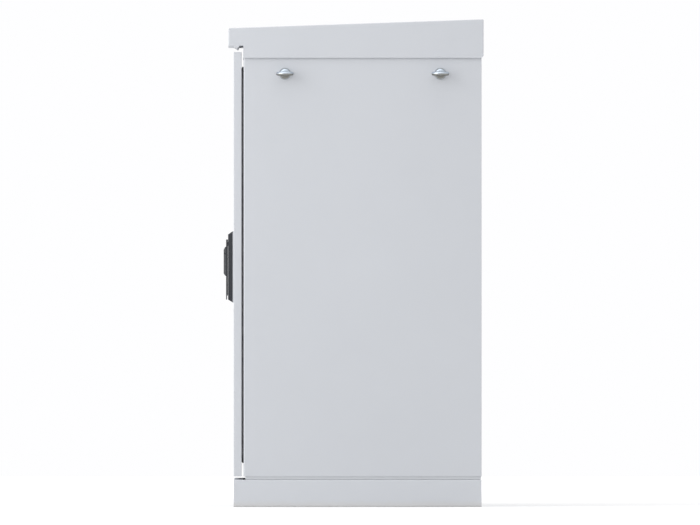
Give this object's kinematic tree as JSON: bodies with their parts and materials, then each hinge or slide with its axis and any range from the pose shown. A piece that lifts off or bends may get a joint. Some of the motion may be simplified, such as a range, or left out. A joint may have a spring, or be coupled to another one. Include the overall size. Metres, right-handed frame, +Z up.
{
  "type": "roadside utility cabinet",
  "caption": "Outdoor steel equipment cabinet on a plinth, with a sloping roof hood, a sealed door with a swing handle, lifting eyes and a 19 inch rack inside.",
  "frame": {"origin": "on the ground at the middle of the four anchor holes in the plinth", "axes": "+Z up, the door faces -Y, +X is to the right of someone who faces the door"},
  "size_m": [0.86, 0.7863, 1.4749],
  "materials": {
    "powder_coat": "fine-textured light grey powder coat",
    "plinth_coat": "fine-textured light grey powder coat",
    "frame_coat": "light grey powder coat on welded tube",
    "galvanised": "hot-dip galvanised sheet",
    "zinc_plated": "bright zinc-plated steel",
    "handle_black": "glass-filled polyamide, dark grey, matt",
    "seal_rubber": "foamed seal",
    "gland_plastic": "moulded polyamide",
    "nickel_brass": "nickel-plated brass",
    "copper": "drawn copper bar"
  },
  "bodies": {
    "cabinet": {"plinth_front": "plinth_coat", "plinth_rear": "plinth_coat", "plinth_left": "plinth_coat", "plinth_right": "plinth_coat", "plinth_bolts": "zinc_plated", "base_frame": "frame_coat", "front_post_left": "frame_coat", "front_post_right": "frame_coat", "rear_post_left": "frame_coat", "rear_post_right": "frame_coat", "front_rail_top": "frame_coat", "front_rail_bottom": "frame_coat", "rear_rail_top": "frame_coat", "lifting_beam_left": "frame_coat", "lifting_beam_right": "frame_coat", "lifting_nuts": "zinc_plated", "eye_bolts": "zinc_plated", "eye_bolt_washers": "zinc_plated", "side_panel_left": "powder_coat", "side_panel_right": "powder_coat", "rear_panel": "powder_coat", "rear_panel_screws": "zinc_plated", "top_panel": "frame_coat", "roof_hood": "powder_coat", "roof_brackets": "frame_coat", "roof_bolts": "zinc_plated", "floor_plate": "galvanised", "gland_plate": "galvanised", "gland_plate_screws": "zinc_plated", "cable_glands": "gland_plastic", "gland_plugs": "gland_plastic", "upright_front_left": "galvanised", "upright_front_right": "galvanised", "upright_rear_left": "galvanised", "upright_rear_right": "galvanised", "rack_rails_left": "galvanised", "rack_rails_right": "galvanised", "upright_bolts": "zinc_plated", "earth_bar": "copper", "earth_bar_supports": "gland_plastic", "hinge_body_leaves": "powder_coat", "hinge_pins": "zinc_plated"},
    "door": {"door_panel": "powder_coat", "door_seal": "seal_rubber", "door_stiffeners": "frame_coat", "hinge_door_leaves": "powder_coat", "handle_dish": "handle_black", "handle_gasket": "seal_rubber", "handle_screws": "zinc_plated", "lock_cylinder": "nickel_brass", "lock_case": "galvanised", "lock_case_cover": "galvanised", "rod_guides": "gland_plastic"},
    "upper_rod": {"lock_rod_upper": "zinc_plated"},
    "lower_rod": {"lock_rod_lower": "zinc_plated"},
    "key_plug": {"lock_plug": "nickel_brass"},
    "spindle": {"handle_spindle": "zinc_plated", "lock_pinion": "zinc_plated"},
    "lever": {"handle_lever": "handle_black"},
    "cover": {"cylinder_cover": "handle_black"}
  },
  "joints": [
    {"name": "door_swing", "type": "hinge", "parent": "cabinet", "child": "door", "pos_m": [-0.383, -0.348, 0.734], "axis": [0, 0, -1], "range_deg": [0, 120]},
    {"name": "handle_turn", "type": "hinge", "parent": "door", "child": "spindle", "pos_m": [0.28, -0.375, 0.796], "axis": [0, 1, 0], "range_deg": [0, 90]},
    {"name": "lever_lift", "type": "hinge", "parent": "spindle", "child": "lever", "pos_m": [0.28, -0.389, 0.796], "axis": [-1, 0, 0], "range_deg": [0, 40]},
    {"name": "key_turn", "type": "hinge", "parent": "door", "child": "key_plug", "pos_m": [0.28, -0.375, 0.741], "axis": [0, 1, 0], "range_deg": [0, 90]},
    {"name": "cover_swing", "type": "hinge", "parent": "lever", "child": "cover", "pos_m": [0.28, -0.401, 0.767], "axis": [0, 1, 0], "range_deg": [0, 100]},
    {"name": "upper_rod_slide", "type": "slide", "parent": "door", "child": "upper_rod", "axis": [0, 0, -1], "range_m": [0, 0.0189]},
    {"name": "lower_rod_slide", "type": "slide", "parent": "door", "child": "lower_rod", "axis": [0, 0, 1], "range_m": [0, 0.0189]}
  ],
  "couplings": [
    {"joint": "upper_rod_slide", "follows": "handle_turn", "m_per_rad": 0.012},
    {"joint": "lower_rod_slide", "follows": "handle_turn", "m_per_rad": 0.012}
  ]
}
